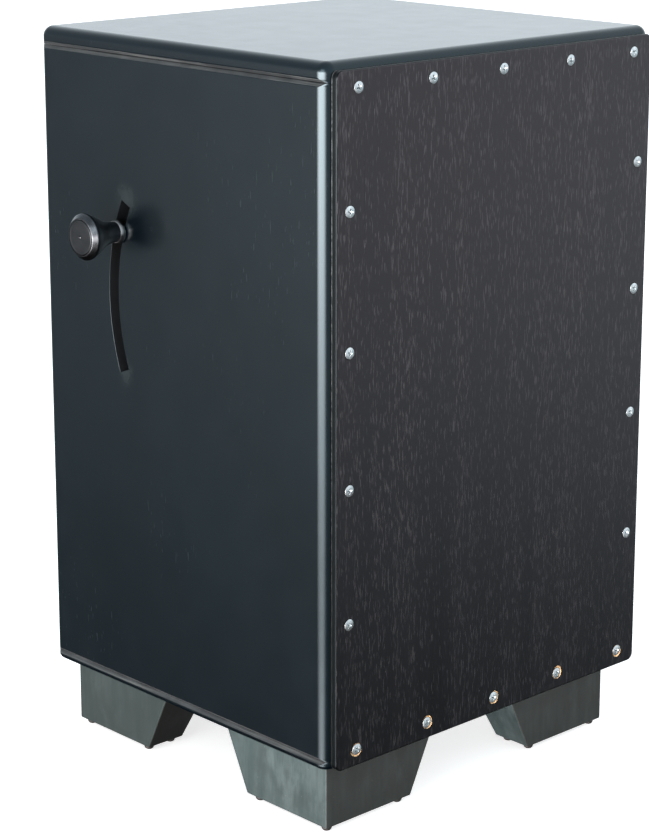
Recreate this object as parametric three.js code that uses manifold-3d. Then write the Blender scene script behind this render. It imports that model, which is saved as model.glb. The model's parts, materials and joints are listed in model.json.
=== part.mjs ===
// A cajon: a wooden box drum with a screwed-on striking plate (the tapa), four splayed feet and a
// snare that swings against the back of the tapa, worked by a knob in a curved slot.
//
// Millimetres, +Z up. The tapa faces -Y and the lever knob stands out on the -X side.
// The box is laid out about its own middle (x = 0, y = 0) with z = 0 on the floor, and the whole
// group is then moved so that the origin is the bottom centre of the object with its knob and screws.

import * as THREE from 'three';
import { mergeVertices } from 'three/addons/utils/BufferGeometryUtils.js';
import Module from 'manifold-3d';

const wasm = await Module();
wasm.setup();

// Driving dimensions: the whole drum.
const TOTAL_HEIGHT = 500;
const BOX_WIDTH = 300;
const BOX_DEPTH = 286;
const BOX_HEIGHT = 450;
const GAP = 0.3;

// The wooden box.
const PANEL = 12;
const TOP_PANEL = 12.5;
const BOTTOM_PANEL = 6;
const EDGE_RADIUS = 7;
const BOTTOM_EDGE_RADIUS = 4;
const GROOVE_HALF_WIDTH = 2;
const GROOVE_DEPTH = 2.4;
const BATTEN_WIDTH = 16;
const BATTEN_DEPTH = 18;
const SOUND_HOLE_RADIUS = 58;
const SOUND_HOLE_HEIGHT = 245;

// The tapa and its screws.
const TAPA_THICKNESS = 5;
const TAPA_SIDE_INSET = 4.5;
const TAPA_TOP_INSET = 5;
const TAPA_BOTTOM_INSET = 0.5;
const TAPA_CORNER_RADIUS = 5;
const TAPA_EDGE_RADIUS = 3.2;
const SCREW_MARGIN = 11;
const CORNER_SCREW_MARGIN = 18;
const ROW_SCREWS = 5;
const COLUMN_SCREWS = 4;
const COLUMN_FIRST_HEIGHT = 97;
const COLUMN_PITCH = 87.5;
const SCREW_HEAD_RADIUS = 3.7;
const SCREW_HEAD_DEPTH = 2.6;
const SCREW_PROUD = 0.6;
const SCREW_SHANK_RADIUS = 1.5;
const SCREW_LENGTH = 20;

// The feet and the studs that they stand on.
const FOOT_TOP_WIDTH = 99;
const FOOT_BOTTOM_WIDTH = 77;
const FOOT_END_WIDTH = 30;
const FOOT_INSET = 12;
const FOOT_INSET_RIGHT = 18;
const STUD_PROUD = 4;
const STUD_RADIUS = 3.5;
const STUD_TIP_RADIUS = 1.8;
const STUD_NAIL_RADIUS = 1.2;
const STUD_NAIL_LENGTH = 9;
const STUD_INSET = 6;
const STUD_INNER_INSET = 7;
const STUD_MIDDLE = 25;

// The snare lever. Distances back are from the front of the tapa, heights from the box's bottom.
const PIVOT_BACK = 66;
const PIVOT_HEIGHT = 278;
const LEVER_RADIUS = 144;
const LEVER_REST_ANGLE = 17.3;
const SLOT_WIDTH = 9.5;
const SLOT_LOW_ANGLE = -21;
const SLOT_HIGH_ANGLE = 25.6;
const ARM_THICKNESS = 4;
const ARM_HALF_WIDTH = 10;
const BOLT_RADIUS = 3;
const BOLT_HEAD_RADIUS = 5.6;
const BOLT_HEAD_THICKNESS = 4;
const SPACER_RADIUS = 7;
const BLOCK_THICKNESS = 18;
const BLOCK_WIDTH = 44;
const BLOCK_HEIGHT = 50;

// The knob, as distances out from the side of the box.
const COLLAR_START = 0.6;
const COLLAR_END = 5;
const COLLAR_RADIUS = 8;
const NECK_RADIUS = 6.8;
const KNOB_RADIUS = 15.5;
const RIM_START = 27;
const KNOB_REACH = 32.5;
const FACE_RADIUS = 12;

// The snare, drawn with the lever at the top of its travel, where the strands meet the tapa.
const SNARE_ON_ANGLE = 6.5;
const SNARE_BAR_SIZE = 20;
const SNARE_BAR_LENGTH = 216;
const JOURNAL_RADIUS = 5;
const SNARE_TILT = 33;
const SNARE_SET_WIDTH = 66;
const SNARE_SET_OFFSET = 56;
const SNARE_PLATE_HEIGHT = 16;
const SNARE_PLATE_THICKNESS = 1.2;
const SNARE_PLATE_RISE = 2.5;
const STRANDS = 10;
const STRAND_RADIUS = 0.9;
const STRAND_LENGTH = 83;
const STRAND_LAP = 2;
const STRAND_FAN = 7;
const CLAMP_THICKNESS = 4;

// Levels and planes that follow from them.
const boxBottom = TOTAL_HEIGHT - BOX_HEIGHT;
const footHeight = boxBottom - STUD_PROUD - GAP;
const halfWidth = BOX_WIDTH / 2;
const front = -BOX_DEPTH / 2;
const back = BOX_DEPTH / 2;
const frameFront = front + TAPA_THICKNESS;
const topPanelBottom = TOTAL_HEIGHT - TOP_PANEL;
const bottomPanelTop = boxBottom + BOTTOM_PANEL;
const innerHalfWidth = halfWidth - PANEL;
const pivotY = front + PIVOT_BACK;
const pivotZ = boxBottom + PIVOT_HEIGHT;
const armOuterX = -innerHalfWidth + GAP + BLOCK_THICKNESS + 2 * GAP;
const leverAngle = THREE.MathUtils.degToRad(LEVER_REST_ANGLE);
const boltY = pivotY + LEVER_RADIUS * Math.cos(leverAngle);
const boltZ = pivotZ + LEVER_RADIUS * Math.sin(leverAngle);

// Materials.
function material(color, roughness, metalness) {
  return new THREE.MeshStandardMaterial({ color, roughness, metalness });
}

const LACQUER = () => material(0x20262b, 0.35, 0);
const VENEER = () => material(0x1d1c1f, 0.55, 0);
const STAINED_WOOD = () => material(0x4c504d, 0.75, 0);
const RAW_WOOD = () => material(0xb08a5c, 0.7, 0);
const BLACK_PLASTIC = () => material(0x111214, 0.5, 0);
const ZINC = () => material(0xaab4bb, 0.35, 0.9);
const STEEL = () => material(0x8c8f92, 0.4, 0.9);
const SILVER = () => material(0xa9abad, 0.3, 0.9);

// Solid building. Every function returns a closed BufferGeometry whose faces point out.

function closedSolid(geometry) {
  const bare = geometry.clone();
  bare.deleteAttribute('normal');
  bare.deleteAttribute('uv');
  const merged = mergeVertices(bare, 1e-4);
  return new wasm.Manifold(new wasm.Mesh({
    numProp: 3,
    vertProperties: new Float32Array(merged.attributes.position.array),
    triVerts: new Uint32Array(merged.index.array),
  }));
}

function geometryOf(solid) {
  const mesh = solid.getMesh();
  const geometry = new THREE.BufferGeometry();
  geometry.setAttribute('position', new THREE.BufferAttribute(mesh.vertProperties, 3));
  geometry.setIndex(new THREE.BufferAttribute(mesh.triVerts, 1));
  return geometry;
}

function cut(geometry, tools) {
  const start = closedSolid(geometry);
  return geometryOf(tools.reduce((solid, tool) => solid.subtract(closedSolid(tool)), start));
}

function join(geometries) {
  const [first, ...rest] = geometries.map(closedSolid);
  return geometryOf(rest.reduce((solid, other) => solid.add(other), first));
}

// A solid lofted through rings that all have the same number of points, turning anticlockwise
// seen from the last ring's side. Both ends are convex and closed flat.
function loft(rings) {
  const count = rings[0].length;
  const positions = rings.flat(2);
  const index = [];
  for (let k = 0; k + 1 < rings.length; k += 1) {
    for (let i = 0; i < count; i += 1) {
      const a = k * count + i;
      const b = k * count + (i + 1) % count;
      index.push(a, b, b + count, a, b + count, a + count);
    }
  }
  const last = (rings.length - 1) * count;
  for (let i = 1; i + 1 < count; i += 1) {
    index.push(0, i + 1, i);
    index.push(last, last + i, last + i + 1);
  }
  const geometry = new THREE.BufferGeometry();
  geometry.setAttribute('position', new THREE.Float32BufferAttribute(positions, 3));
  geometry.setIndex(index);
  return geometry;
}

// A rounded rectangle as [x, y] points, centred on 0.
function roundedRectangle(halfX, halfY, radius, segments) {
  const points = [];
  const corners = [[1, 1], [-1, 1], [-1, -1], [1, -1]];
  corners.forEach(([signX, signY], corner) => {
    for (let i = 0; i <= segments; i += 1) {
      const angle = (corner + i / segments) * Math.PI / 2;
      points.push([
        signX * (halfX - radius) + radius * Math.cos(angle),
        signY * (halfY - radius) + radius * Math.sin(angle),
      ]);
    }
  });
  return points;
}

// A slab whose last face is edged with a quarter-round. It lies on z = 0, centred on x and y.
function roundedSlab(halfX, halfY, thickness, cornerRadius, edgeRadius) {
  const steps = 4;
  const cornerSegments = 5;
  const profile = [[0, 0]];
  for (let i = 0; i <= steps; i += 1) {
    const angle = i / steps * Math.PI / 2;
    profile.push([
      edgeRadius * (1 - Math.cos(angle)),
      thickness - edgeRadius + edgeRadius * Math.sin(angle),
    ]);
  }
  const smallestCorner = 0.4;
  return loft(profile.map(([inset, level]) => {
    const radius = Math.max(cornerRadius - inset, smallestCorner);
    const outline = roundedRectangle(halfX - inset, halfY - inset, radius, cornerSegments);
    return outline.map(([x, y]) => [x, y, level]);
  }));
}

function box(low, high) {
  const size = high.map((value, i) => value - low[i]);
  const middle = high.map((value, i) => (value + low[i]) / 2);
  return new THREE.BoxGeometry(...size).translate(...middle);
}

// A turned solid about +Y. The profile is [radius, height] from the axis at the bottom to the
// axis at the top.
function turned(profile, segments) {
  return new THREE.LatheGeometry(profile.map(([r, h]) => new THREE.Vector2(r, h)), segments);
}

function rod(radius, low, high, segments) {
  return turned([[0, low], [radius, low], [radius, high], [0, high]], segments);
}

// A turned ring about +Y, from closed [radius, height] corners given anticlockwise.
function turnedRing(corners, segments) {
  return turned([...corners, corners[0]], segments);
}

// Turns a solid made about +Y so that its +Y becomes the given direction.
const outLeft = (geometry) => geometry.rotateZ(Math.PI / 2);
const outFront = (geometry) => geometry.rotateX(Math.PI);
const upright = (geometry) => geometry.rotateX(Math.PI / 2);

// An extruded outline drawn in the Y-Z plane, running along +X from x = 0.
function extrudedAlongX(shape, length, curveSegments) {
  const flat = new THREE.ExtrudeGeometry(shape, { depth: length, bevelEnabled: false, curveSegments });
  const turn = new THREE.Matrix4().makeBasis(
    new THREE.Vector3(0, 1, 0),
    new THREE.Vector3(0, 0, 1),
    new THREE.Vector3(1, 0, 0),
  );
  return flat.applyMatrix4(turn);
}

// The whole object.
const cajon = new THREE.Group();
cajon.position.set(KNOB_REACH / 2, SCREW_PROUD / 2, 0);

function add(name, geometry, look, parent = cajon) {
  const mesh = new THREE.Mesh(geometry, look);
  mesh.name = name;
  parent.add(mesh);
  return mesh;
}

// The V-grooves that run from front to back along the joints of the side panels.
function grooves() {
  const reach = 1;
  const length = BOX_DEPTH + 20;
  const mouth = GROOVE_HALF_WIDTH * (GROOVE_DEPTH + reach) / GROOVE_DEPTH;
  const tools = [];
  for (const side of [-1, 1]) {
    for (const level of [bottomPanelTop, topPanelBottom]) {
      const outer = side * (halfWidth + reach);
      const apex = side * (halfWidth - GROOVE_DEPTH);
      const corners = [[outer, level - mouth], [apex, level], [outer, level + mouth]];
      const shape = new THREE.Shape(corners.map(([x, z]) => new THREE.Vector2(x, z)));
      const prism = new THREE.ExtrudeGeometry(shape, { depth: length, bevelEnabled: false });
      tools.push(prism.rotateX(Math.PI / 2).translate(0, length / 2, 0));
    }
  }
  return tools;
}

function leverSlot() {
  const low = THREE.MathUtils.degToRad(SLOT_LOW_ANGLE);
  const high = THREE.MathUtils.degToRad(SLOT_HIGH_ANGLE);
  const shape = new THREE.Shape();
  shape.absarc(0, 0, LEVER_RADIUS + SLOT_WIDTH / 2, low, high, false);
  shape.absarc(0, 0, LEVER_RADIUS - SLOT_WIDTH / 2, high, low, true);
  const overrun = 5;
  return extrudedAlongX(shape, PANEL + 2 * overrun, 16)
    .translate(-halfWidth - overrun, pivotY, pivotZ);
}

function horizontalPanels() {
  const halfDepth = (back - frameFront) / 2;
  const middle = (back + frameFront) / 2;
  const top = roundedSlab(halfWidth, halfDepth, TOP_PANEL, EDGE_RADIUS, EDGE_RADIUS)
    .translate(0, middle, topPanelBottom);
  const bottom = roundedSlab(halfWidth, halfDepth, BOTTOM_PANEL, EDGE_RADIUS, BOTTOM_EDGE_RADIUS)
    .rotateX(Math.PI)
    .translate(0, middle, bottomPanelTop);
  add('top_panel', cut(top, grooves()), LACQUER());
  add('bottom_panel', cut(bottom, grooves()), LACQUER());
}

function sidePanel(side) {
  const outer = side * halfWidth;
  const inner = side * innerHalfWidth;
  const r = EDGE_RADIUS;
  const plan = new THREE.Shape();
  const sideways = side > 0 ? 0 : Math.PI;
  plan.moveTo(inner, frameFront);
  plan.absarc(outer - side * r, frameFront + r, r, -Math.PI / 2, -sideways, side < 0);
  plan.absarc(outer - side * r, back - r, r, sideways, Math.PI / 2, side < 0);
  plan.lineTo(inner, back);
  const height = topPanelBottom - bottomPanelTop - 2 * GAP;
  return new THREE.ExtrudeGeometry(plan, { depth: height, bevelEnabled: false, curveSegments: 5 })
    .translate(0, 0, bottomPanelTop + GAP);
}

function verticalPanels() {
  add('left_side_panel', cut(sidePanel(-1), [...grooves(), leverSlot()]), LACQUER());
  add('right_side_panel', cut(sidePanel(1), grooves()), LACQUER());
  const board = box(
    [-innerHalfWidth + GAP, back - PANEL, bottomPanelTop + GAP],
    [innerHalfWidth - GAP, back, topPanelBottom - GAP],
  );
  const hole = rod(SOUND_HOLE_RADIUS, -PANEL, PANEL, 32)
    .translate(0, back - PANEL / 2, boxBottom + SOUND_HOLE_HEIGHT);
  add('back_panel', cut(board, [hole]), LACQUER());
}

// Where the tapa screws go, as [name, x, z].
function screwPlaces() {
  const left = -halfWidth + TAPA_SIDE_INSET;
  const low = boxBottom + TAPA_BOTTOM_INSET + SCREW_MARGIN;
  const high = TOTAL_HEIGHT - TAPA_TOP_INSET - SCREW_MARGIN;
  const places = [];
  for (let i = 0; i < ROW_SCREWS; i += 1) {
    const start = left + CORNER_SCREW_MARGIN;
    const x = start - 2 * start * i / (ROW_SCREWS - 1);
    places.push([`tapa_screw_top_${i + 1}`, x, high]);
    places.push([`tapa_screw_bottom_${i + 1}`, x, low]);
  }
  for (let i = 0; i < COLUMN_SCREWS; i += 1) {
    const z = boxBottom + COLUMN_FIRST_HEIGHT + i * COLUMN_PITCH;
    places.push([`tapa_screw_left_${i + 1}`, left + SCREW_MARGIN, z]);
    places.push([`tapa_screw_right_${i + 1}`, -left - SCREW_MARGIN, z]);
  }
  return places;
}

// A countersunk screw about +Y with its head up. A clearance makes it the hole that it sits in.
function screw(clearance = 0) {
  const head = SCREW_HEAD_RADIUS + clearance;
  const shank = SCREW_SHANK_RADIUS + clearance;
  const surface = clearance > 0 ? SCREW_PROUD + 1 : 0;
  const profile = [
    [0, -SCREW_LENGTH - clearance],
    [shank, 2 * SCREW_SHANK_RADIUS - SCREW_LENGTH - clearance],
    [shank, -SCREW_HEAD_DEPTH - clearance],
    [head, -clearance],
  ];
  const crown = clearance > 0
    ? [[head, surface], [0, surface]]
    : [[head * 0.8, SCREW_PROUD * 0.6], [head * 0.3, SCREW_PROUD], [0, SCREW_PROUD]];
  return turned([...profile, ...crown], 10);
}

function screwHoles() {
  return screwPlaces().map(([, x, z]) => outFront(screw(GAP)).translate(x, front, z));
}

function tapaAndScrews() {
  const low = boxBottom + TAPA_BOTTOM_INSET;
  const high = TOTAL_HEIGHT - TAPA_TOP_INSET;
  const plate = roundedSlab(
    halfWidth - TAPA_SIDE_INSET,
    (high - low) / 2,
    TAPA_THICKNESS - GAP,
    TAPA_CORNER_RADIUS,
    TAPA_EDGE_RADIUS,
  ).rotateX(Math.PI / 2).translate(0, frameFront - GAP, (high + low) / 2);
  add('tapa', cut(plate, screwHoles()), VENEER());
  for (const [name, x, z] of screwPlaces()) {
    add(name, outFront(screw()).translate(x, front, z), ZINC());
  }
}

// The inner battens that the tapa is screwed to.
function battens() {
  const rear = frameFront + BATTEN_DEPTH;
  const outer = innerHalfWidth - GAP;
  const inner = outer - BATTEN_WIDTH;
  const low = bottomPanelTop + GAP;
  const high = topPanelBottom - GAP;
  const bars = {
    batten_left: box([-outer, frameFront, low], [-inner, rear, high]),
    batten_right: box([inner, frameFront, low], [outer, rear, high]),
    batten_top: box([GAP - inner, frameFront, high - BATTEN_WIDTH], [inner - GAP, rear, high]),
    batten_bottom: box([GAP - inner, frameFront, low], [inner - GAP, rear, low + BATTEN_WIDTH]),
  };
  const holes = screwHoles();
  for (const [name, bar] of Object.entries(bars)) {
    add(name, cut(bar, holes), RAW_WOOD());
  }
}

// A stud with its nail, about +Z, standing on z = 0. A clearance makes it the hole for the nail.
function stud(clearance = 0) {
  const nail = STUD_NAIL_RADIUS + clearance;
  const tip = STUD_PROUD + STUD_NAIL_LENGTH + clearance;
  if (clearance > 0) {
    return upright(rod(nail, STUD_PROUD - 1, tip, 8));
  }
  const shoulder = STUD_PROUD - GAP;
  return upright(turned([
    [0, 0],
    [STUD_TIP_RADIUS, 0],
    [STUD_RADIUS * 0.85, STUD_PROUD * 0.25],
    [STUD_RADIUS, STUD_PROUD * 0.6],
    [STUD_RADIUS, shoulder],
    [nail, shoulder],
    [nail, tip],
    [0, tip],
  ], 12));
}

// One foot: its outer faces are upright and its two inner faces slope in towards the floor.
function foot(name, sideX, sideY) {
  const outerX = sideX * (halfWidth - (sideX < 0 ? FOOT_INSET : FOOT_INSET_RIGHT));
  const outerY = sideY < 0 ? frameFront + FOOT_INSET : back - FOOT_INSET;
  const inward = ([across, along]) => [outerX - sideX * across, outerY - sideY * along];
  // A square with its inner corner cut off at 45 degrees, so that all three inner faces splay alike.
  const ring = (width, z) => {
    const end = FOOT_END_WIDTH + (width - FOOT_BOTTOM_WIDTH) * (Math.SQRT2 - 1);
    const corners = [[0, 0], [width, 0], [width, end], [end, width], [0, width]].map(inward);
    if (sideX !== sideY) corners.reverse();
    return corners.map(([x, y]) => [x, y, z]);
  };
  const block = loft([ring(FOOT_BOTTOM_WIDTH, STUD_PROUD), ring(FOOT_TOP_WIDTH, STUD_PROUD + footHeight)]);
  const far = FOOT_BOTTOM_WIDTH - STUD_INNER_INSET;
  const places = [
    [STUD_INSET, STUD_INSET],
    [STUD_INSET, far],
    [far, STUD_INSET],
    sideX < 0 ? [STUD_MIDDLE, far] : [far, STUD_MIDDLE],
  ].map((place) => [...inward(place), 0]);
  add(name, cut(block, places.map((place) => stud(GAP).translate(...place))), STAINED_WOOD());
  places.forEach((place, i) => {
    add(`${name}_stud_${i + 1}`, stud().translate(...place), BLACK_PLASTIC());
  });
}

function feet() {
  foot('foot_front_left', -1, -1);
  foot('foot_front_right', 1, -1);
  foot('foot_rear_left', -1, 1);
  foot('foot_rear_right', 1, 1);
}

// The blocks on the side panels that the snare bar turns in.
function snareBlocks() {
  for (const [name, side] of [['snare_block_left', -1], ['snare_block_right', 1]]) {
    const outer = side * (innerHalfWidth - GAP);
    const inner = outer - side * BLOCK_THICKNESS;
    const [lowX, highX] = [outer, inner].sort((a, b) => a - b);
    const block = box(
      [lowX, pivotY - BLOCK_WIDTH / 2, pivotZ - BLOCK_HEIGHT / 2],
      [highX, pivotY + BLOCK_WIDTH / 2, pivotZ + BLOCK_HEIGHT / 2],
    );
    const bore = outLeft(rod(JOURNAL_RADIUS + GAP, -halfWidth, halfWidth, 20)).translate(0, pivotY, pivotZ);
    add(name, cut(block, [bore]), RAW_WOOD());
  }
}

// The lever arm: a flat bar with round ends from the snare bar's journal to the bolt.
function leverArm() {
  const shape = new THREE.Shape();
  shape.absarc(LEVER_RADIUS, 0, ARM_HALF_WIDTH, -Math.PI / 2, Math.PI / 2, false);
  shape.absarc(0, 0, ARM_HALF_WIDTH, Math.PI / 2, 3 * Math.PI / 2, false);
  const journalHole = new THREE.Path().absarc(0, 0, JOURNAL_RADIUS + GAP, 0, 2 * Math.PI, true);
  const boltHole = new THREE.Path().absarc(LEVER_RADIUS, 0, BOLT_RADIUS + GAP, 0, 2 * Math.PI, true);
  shape.holes.push(journalHole, boltHole);
  return extrudedAlongX(shape, ARM_THICKNESS, 8)
    .rotateX(leverAngle)
    .translate(armOuterX, pivotY, pivotZ);
}

// The lever's bolt runs from the arm through the slot into the knob. Lengths along it are
// distances out from the side of the box, so those inside the box are negative.
function leverBolt() {
  const tip = KNOB_REACH - 10;
  const headOuter = -halfWidth - (armOuterX + ARM_THICKNESS + GAP);
  const headInner = headOuter - BOLT_HEAD_THICKNESS;
  const head = turned([
    [0, headInner], [BOLT_HEAD_RADIUS, headInner], [BOLT_HEAD_RADIUS, headOuter], [0, headOuter],
  ], 6);
  return atBolt(join([head, rod(BOLT_RADIUS, headOuter - 1, tip, 12)]));
}

function atBolt(geometry) {
  return outLeft(geometry).translate(-halfWidth, boltY, boltZ);
}

function leverSpacer() {
  const inner = -halfWidth - armOuterX + GAP;
  const outer = -PANEL - 2 * GAP;
  const bore = BOLT_RADIUS + GAP;
  return atBolt(turnedRing([[bore, inner], [SPACER_RADIUS, inner], [SPACER_RADIUS, outer], [bore, outer]], 16));
}

function knob() {
  const bore = BOLT_RADIUS + GAP;
  add('knob_collar', atBolt(turnedRing([
    [bore, COLLAR_START],
    [COLLAR_RADIUS - 0.6, COLLAR_START],
    [COLLAR_RADIUS, COLLAR_START + 1],
    [COLLAR_RADIUS, COLLAR_END - 1],
    [COLLAR_RADIUS - 0.8, COLLAR_END],
    [bore, COLLAR_END],
  ], 16)), SILVER());
  const boreEnd = KNOB_REACH - 9;
  add('knob_body', atBolt(turned([
    [0, boreEnd],
    [bore, boreEnd],
    [bore, COLLAR_END + GAP],
    [NECK_RADIUS, COLLAR_END + GAP],
    [NECK_RADIUS + 0.4, COLLAR_END + 6],
    [KNOB_RADIUS - 3, RIM_START - 6],
    [KNOB_RADIUS - 0.6, RIM_START],
    [FACE_RADIUS - GAP, RIM_START],
    [FACE_RADIUS - GAP, KNOB_REACH - 0.5],
    [FACE_RADIUS - 0.8, KNOB_REACH],
    [0, KNOB_REACH],
  ], 20)), BLACK_PLASTIC());
  add('knob_rim', atBolt(turnedRing([
    [FACE_RADIUS, RIM_START + GAP],
    [KNOB_RADIUS - 0.4, RIM_START + GAP],
    [KNOB_RADIUS, RIM_START + 1],
    [KNOB_RADIUS, RIM_START + 2],
    [FACE_RADIUS + 0.6, KNOB_REACH - 0.4],
    [FACE_RADIUS, KNOB_REACH - 0.4],
  ], 20)), SILVER());
}

// A square wooden bar with a round journal at each end, about the pivot's axis.
function snareBar() {
  const half = SNARE_BAR_SIZE / 2;
  const length = SNARE_BAR_LENGTH / 2;
  const tilt = THREE.MathUtils.degToRad(SNARE_TILT);
  const square = box([-length, -half, -half], [length, half, half]).rotateX(tilt);
  const journals = outLeft(rod(JOURNAL_RADIUS, 2 * GAP - innerHalfWidth, innerHalfWidth - 2 * GAP, 20));
  return join([square, journals]);
}

// One set of snare strands on its end plate. The plate stands on z = 0 against y = 0, and the
// strands rise from its top edge and spread a little.
function snareSet() {
  const plate = box(
    [-SNARE_SET_WIDTH / 2, -SNARE_PLATE_THICKNESS, 0],
    [SNARE_SET_WIDTH / 2, 0, SNARE_PLATE_HEIGHT],
  );
  const strands = [];
  const root = SNARE_PLATE_HEIGHT - STRAND_LAP;
  for (let i = 0; i < STRANDS; i += 1) {
    const share = i / (STRANDS - 1) - 0.5;
    const strand = upright(rod(STRAND_RADIUS, 0, STRAND_LENGTH, 6))
      .rotateY(THREE.MathUtils.degToRad(share * STRAND_FAN))
      .translate(share * (SNARE_SET_WIDTH - 6), -SNARE_PLATE_THICKNESS / 2, root);
    strands.push(strand);
  }
  return join([plate, ...strands]);
}

// Everything that swings with the lever on the snare bar. The snare group is laid out in its
// playing place and then let back by the travel that is left at rest.
function snare() {
  const group = new THREE.Group();
  group.position.set(0, pivotY, pivotZ);
  group.rotation.x = THREE.MathUtils.degToRad(-SNARE_ON_ANGLE);
  cajon.add(group);
  add('snare_bar', snareBar(), RAW_WOOD(), group);
  const tilt = THREE.MathUtils.degToRad(SNARE_TILT);
  const face = -SNARE_BAR_SIZE / 2 - GAP;
  const foot = SNARE_BAR_SIZE / 2 + SNARE_PLATE_RISE - SNARE_PLATE_HEIGHT;
  for (const [name, side] of [['snare_set_left', -1], ['snare_set_right', 1]]) {
    const set = snareSet().translate(side * SNARE_SET_OFFSET, face, foot);
    add(name, set.rotateX(tilt), STEEL(), group);
  }
  const clampFace = face - SNARE_PLATE_THICKNESS - GAP;
  const clamp = box(
    [-SNARE_BAR_LENGTH / 2 + 8, clampFace - CLAMP_THICKNESS, -SNARE_BAR_SIZE / 2 + 1],
    [SNARE_BAR_LENGTH / 2 - 8, clampFace, SNARE_BAR_SIZE / 2 - 2],
  );
  add('snare_clamp', clamp.rotateX(tilt), RAW_WOOD(), group);
}

function lever() {
  add('lever_arm', leverArm(), STEEL());
  add('lever_bolt', leverBolt(), STEEL());
  add('lever_spacer', leverSpacer(), BLACK_PLASTIC());
}

horizontalPanels();
verticalPanels();
battens();
tapaAndScrews();
feet();
snareBlocks();
snare();
lever();
knob();

export default cajon;
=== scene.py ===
import json
import math
import random
from functools import partialmethod

import bpy
from mathutils import Matrix, Vector

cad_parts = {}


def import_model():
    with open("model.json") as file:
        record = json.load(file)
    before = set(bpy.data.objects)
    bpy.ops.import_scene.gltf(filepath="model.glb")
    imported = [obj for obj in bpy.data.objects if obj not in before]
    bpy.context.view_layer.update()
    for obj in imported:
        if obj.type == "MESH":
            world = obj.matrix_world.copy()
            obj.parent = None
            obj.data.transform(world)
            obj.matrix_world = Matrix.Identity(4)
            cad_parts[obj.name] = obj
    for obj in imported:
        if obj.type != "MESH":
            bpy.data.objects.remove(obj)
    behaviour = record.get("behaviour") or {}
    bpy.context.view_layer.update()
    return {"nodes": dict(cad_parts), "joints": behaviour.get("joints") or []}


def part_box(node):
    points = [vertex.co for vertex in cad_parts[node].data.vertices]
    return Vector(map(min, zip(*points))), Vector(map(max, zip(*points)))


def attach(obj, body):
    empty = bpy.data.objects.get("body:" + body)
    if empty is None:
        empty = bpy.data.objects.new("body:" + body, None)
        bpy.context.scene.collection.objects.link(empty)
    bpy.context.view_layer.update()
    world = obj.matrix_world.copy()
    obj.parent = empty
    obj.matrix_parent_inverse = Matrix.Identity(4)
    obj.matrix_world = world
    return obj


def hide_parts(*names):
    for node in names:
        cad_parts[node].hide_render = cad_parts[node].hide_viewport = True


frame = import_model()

# The looks of a cajon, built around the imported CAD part. Metres, +Z up, the tapa facing -Y and the
# lever knob on the -X side. Lengths written with MM are millimetres.

MM = 0.001
SEED = 41

# Places that the CAD part gives.
left_low, left_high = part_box("left_side_panel")
right_low, right_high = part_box("right_side_panel")
top_low, top_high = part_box("top_panel")
bottom_low, bottom_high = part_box("bottom_panel")
back_low, back_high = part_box("back_panel")
tapa_low, tapa_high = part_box("tapa")
outer_left, inner_left = left_low.x, left_high.x
inner_right, outer_right = right_low.x, right_high.x
frame_front, box_back = left_low.y, left_high.y
top_joint, box_top = top_low.z, top_high.z
box_bottom, bottom_joint = bottom_low.z, bottom_high.z
tapa_front = tapa_low.y
middle_x = (outer_left + outer_right) / 2
joints = {joint["name"]: joint for joint in frame["joints"]}
pivot = Vector(joints["lever_swing"]["pos_m"])
bolt = Vector(joints["knob_turn"]["pos_m"])
slot_radius = math.hypot(bolt.y - pivot.y, bolt.z - pivot.z)

# Shapes of the box.
EDGE_RADIUS = 8 * MM
TOP_EDGE_RADIUS = 7 * MM
BOTTOM_EDGE_RADIUS = 4 * MM
SMALLEST_RADIUS = 0.3 * MM
GROOVE_DEPTH = 2.6 * MM
GROOVE_HALF_WIDTH = 2.5 * MM
ARC_STEPS = 12
TAPA_CORNER_RADIUS = 5 * MM
TAPA_EDGE_RADIUS = 1.0 * MM
SOUND_HOLE_RADIUS, SOUND_HOLE_EASE = 58 * MM, 2.2 * MM
SOUND_HOLE_CENTRE = Vector((middle_x, box_back, box_bottom + 245 * MM))
ON_PLANE = 0.02 * MM

# The ends of the lever's slot, in degrees about the pivot, and (angle, radius) of the worn spots there.
SLOT_HALF_WIDTH = 4.75 * MM
SLOT_LOW, SLOT_HIGH = -21, 25.6
WORN_SPOTS = ((-21.5, 9 * MM), (26.0, 12 * MM))

# The camera, as fitted to the photograph: where it is from the box's near lower corner, its angles in
# degrees, and its lens in millimetres.
EYE_FROM_CORNER = Vector((-0.9727, -1.0270, 0.6263))
CAMERA_YAW, CAMERA_PITCH = 43.28, 13.47
LENS, SENSOR_WIDTH, LENS_SHIFT = 104.41, 36.0, -0.1

# The studio's levels, as radiance with white at 1. Heights are the upward part of a direction, and
# azimuths are anticlockwise from +X, in degrees. A reach is how far from its middle a window is full,
# and how far it goes.
GROUND_BY_HEIGHT = ((-0.5, 0.0), (-0.42, 0.01), (-0.38, 0.05), (-0.34, 0.22), (-0.30, 0.50), (-0.24, 0.84),
                    (-0.17, 0.98), (-0.1, 1.0), (0.0, 1.0))
GROUND_COLOUR, LOW_GROUND_COLOUR = (0.86, 0.945, 1.0), (0.60, 0.93, 0.97)
BRIGHT_AZIMUTH, FAR_SHARE, BRIGHT_SHARE = 310, 0.28, 1.22
BEHIND_AZIMUTH, BEHIND_ELEVATION, BEHIND_LEVEL = 47, 13.5, 0.68
SKY_RISE = 0.25
WINDOW_COLOUR = (1.15, 1.0, 0.95)
WINDOW_AZIMUTH, WINDOW_REACH, WINDOW_LEVEL = 185, (14, 46), 30.0
WINDOW_BY_HEIGHT = ((-0.46, 0.80), (-0.41, 0.34), (-0.375, 0.0), (-0.345, 0.0), (-0.31, 0.0), (-0.28, 0.12),
                    (-0.24, 0.44), (-0.19, 0.63), (-0.12, 1.0), (0.0, 1.0), (0.1, 0.4), (0.2, 0.0))
SHOULDER_AZIMUTH, SHOULDER_REACH, SHOULDER_LEVEL = 152, (6, 26), 1.5
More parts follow.
